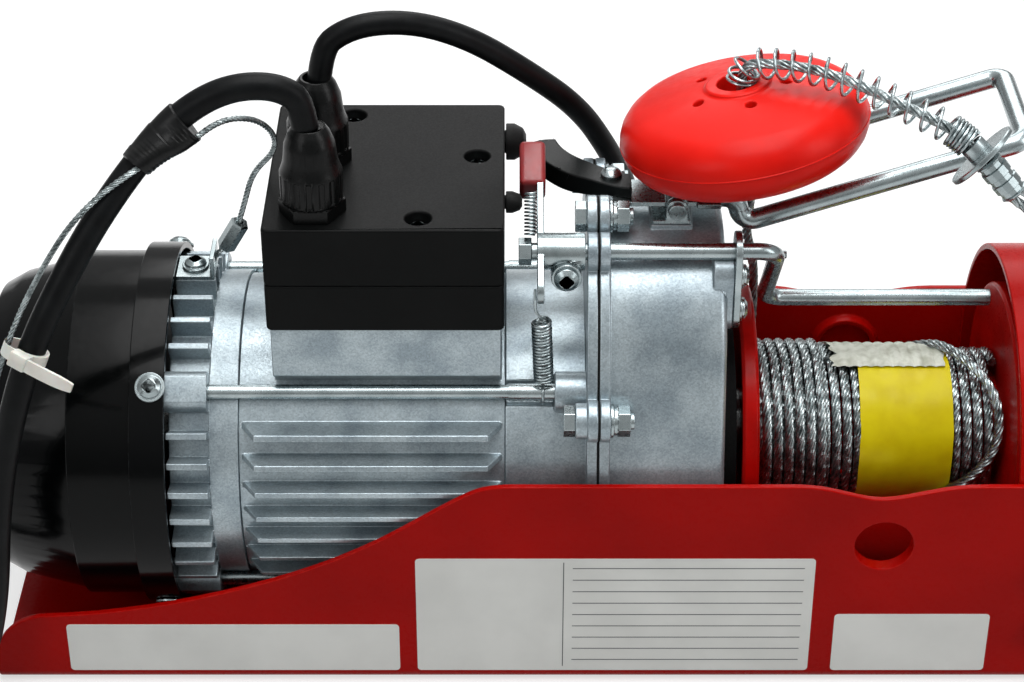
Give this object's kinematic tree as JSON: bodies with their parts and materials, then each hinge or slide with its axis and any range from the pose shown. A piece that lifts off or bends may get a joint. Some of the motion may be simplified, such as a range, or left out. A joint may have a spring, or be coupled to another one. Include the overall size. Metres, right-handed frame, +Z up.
{
  "type": "electric rope winch",
  "caption": "Electric rope winch: finned motor, gearbox and rope drum on a red steel channel, with limit levers, stopper disc, hook and pendant control.",
  "frame": {"origin": "centre of the four clamp holes, on the base channel's underside", "axes": "+X along the drum axis from the motor to the drum, +Y across the channel to the back, +Z up from the base plate"},
  "size_m": [0.4769, 0.2152, 0.1945],
  "materials": {
    "frame_red": "gloss",
    "casting_silver": "satin",
    "cover_black": "gloss",
    "zinc": "bright zinc plate",
    "steel": "machined",
    "bearing_steel": "ground",
    "core_steel": "laminated",
    "winding": "enamelled copper wire",
    "rotor_alloy": "cast",
    "gasket_black": "matt",
    "fan_plastic": "matt",
    "gear_steel": "greased",
    "drum_red": "gloss",
    "rope_steel": "galvanised",
    "tape_yellow": "gloss",
    "box_black": "satin",
    "gland_black": "satin",
    "capacitor_case": "satin",
    "switch_body": "matt",
    "boot_rubber": "matt",
    "tip_red": "gloss",
    "arm_black": "satin",
    "stopper_red": "satin",
    "cable_black": "satin",
    "plug_black": "satin",
    "handset_black": "matt",
    "button_white": "satin",
    "button_black": "satin",
    "stop_red": "gloss",
    "hook_zinc": "zinc plate"
  },
  "bodies": {
    "hoist": {"base_frame": "frame_red", "drum_end_bracket": "frame_red", "frame_bolts": "zinc", "motor_housing": "casting_silver", "rear_end_bell": "casting_silver", "fan_cover": "cover_black", "cover_screws": "zinc", "tie_rods": "zinc", "front_shield": "casting_silver", "case_gasket": "gasket_black", "gear_case": "casting_silver", "case_bolts": "zinc", "stator_core": "core_steel", "stator_windings": "winding", "bearings": "bearing_steel", "drum_seal": "gasket_black", "box_base": "box_black", "box_lid": "box_black", "front_gland": "gland_black", "rear_gland": "gland_black", "capacitor": "capacitor_case", "limit_switches": "switch_body", "lever_springs": "zinc", "guide_plate": "zinc", "guide_fasteners": "zinc", "rocker_bracket": "zinc", "anchor_tab": "zinc", "support_wire": "rope_steel", "stopper_disc": "stopper_red", "stopper_spring": "zinc", "rope_tail": "rope_steel", "rope_eye": "rope_steel", "mains_lead": "cable_black", "mains_coil": "cable_black", "mains_plug": "plug_black", "pendant_cable": "cable_black", "pendant_coil": "cable_black", "handset_shell": "handset_black"},
    "wound_drum": {"rope_drum": "drum_red", "rope_winding": "rope_steel", "rope_tape": "tape_yellow", "drum_gear": "gear_steel", "drum_shaft": "steel"},
    "layshaft": {"layshaft_gear": "gear_steel"},
    "rotor": {"motor_shaft": "steel", "rotor_core": "rotor_alloy", "cooling_fan": "fan_plastic"},
    "feeler": {"feeler_rod": "zinc", "lever_plate": "zinc", "lever_tip": "tip_red", "clamp_screw": "zinc"},
    "limit_arm": {"swing_arm": "zinc", "rocker_arm": "arm_black"},
    "upper_switch": {"upper_switch_button": "boot_rubber"},
    "lower_switch": {"lower_switch_button": "boot_rubber"},
    "hook": {"load_hook": "hook_zinc"},
    "latch": {"hook_latch": "zinc"},
    "up_push": {"up_button": "button_white"},
    "down_push": {"down_button": "button_black"},
    "stop_push": {"stop_button": "stop_red"}
  },
  "joints": [
    {"name": "drum_spin", "type": "hinge", "parent": "hoist", "child": "wound_drum", "pos_m": [0.09, 0, 0.0578], "axis": [1, 0, 0], "continuous": true},
    {"name": "layshaft_spin", "type": "hinge", "parent": "hoist", "child": "layshaft", "pos_m": [0.025, 0, 0.0938], "axis": [1, 0, 0], "continuous": true},
    {"name": "rotor_spin", "type": "hinge", "parent": "hoist", "child": "rotor", "pos_m": [-0.05, 0, 0.0578], "axis": [1, 0, 0], "continuous": true},
    {"name": "feeler_swing", "type": "hinge", "parent": "hoist", "child": "feeler", "pos_m": [0.02, -0.021, 0.132], "axis": [1, 0, 0], "range_deg": [-12, 9], "stiffness_Nm_per_rad": 0.3, "deforming": ["lever_springs"]},
    {"name": "limit_arm_swing", "type": "hinge", "parent": "hoist", "child": "limit_arm", "pos_m": [0.034, 0.002, 0.138], "axis": [0, 1, 0], "range_deg": [0, 4.5], "stiffness_Nm_per_rad": 0.4, "springref_deg": -17.19},
    {"name": "upper_switch_press", "type": "slide", "parent": "hoist", "child": "upper_switch", "axis": [-1, 0, 0], "range_m": [0, 0.002], "stiffness_N_per_m": 400, "springref_m": -0.001},
    {"name": "lower_switch_press", "type": "slide", "parent": "hoist", "child": "lower_switch", "axis": [-1, 0, 0], "range_m": [0, 0.002], "stiffness_N_per_m": 400, "springref_m": -0.001},
    {"name": "hook_swing", "type": "hinge", "parent": "hoist", "child": "hook", "pos_m": [0.181, -0.029, 0.1052], "axis": [1, 0, 0], "range_deg": [-40, 40]},
    {"name": "latch_swing", "type": "hinge", "parent": "hook", "child": "latch", "pos_m": [0.181, -0.0353, 0.085], "axis": [1, 0, 0], "range_deg": [0, 40], "stiffness_Nm_per_rad": 0.02, "springref_deg": -17.19},
    {"name": "up_press", "type": "slide", "parent": "hoist", "child": "up_push", "axis": [0, 0, -1], "range_m": [0, 0.003], "stiffness_N_per_m": 400, "springref_m": -0.001},
    {"name": "down_press", "type": "slide", "parent": "hoist", "child": "down_push", "axis": [0, 0, -1], "range_m": [0, 0.003], "stiffness_N_per_m": 400, "springref_m": -0.001},
    {"name": "stop_press", "type": "slide", "parent": "hoist", "child": "stop_push", "axis": [0, 0, -1], "range_m": [0, 0.004], "stiffness_N_per_m": 500, "springref_m": -0.001}
  ],
  "couplings": [
    {"joint": "layshaft_spin", "follows": "drum_spin", "ratio": -4.4545},
    {"joint": "rotor_spin", "follows": "drum_spin", "ratio": 31.992}
  ]
}
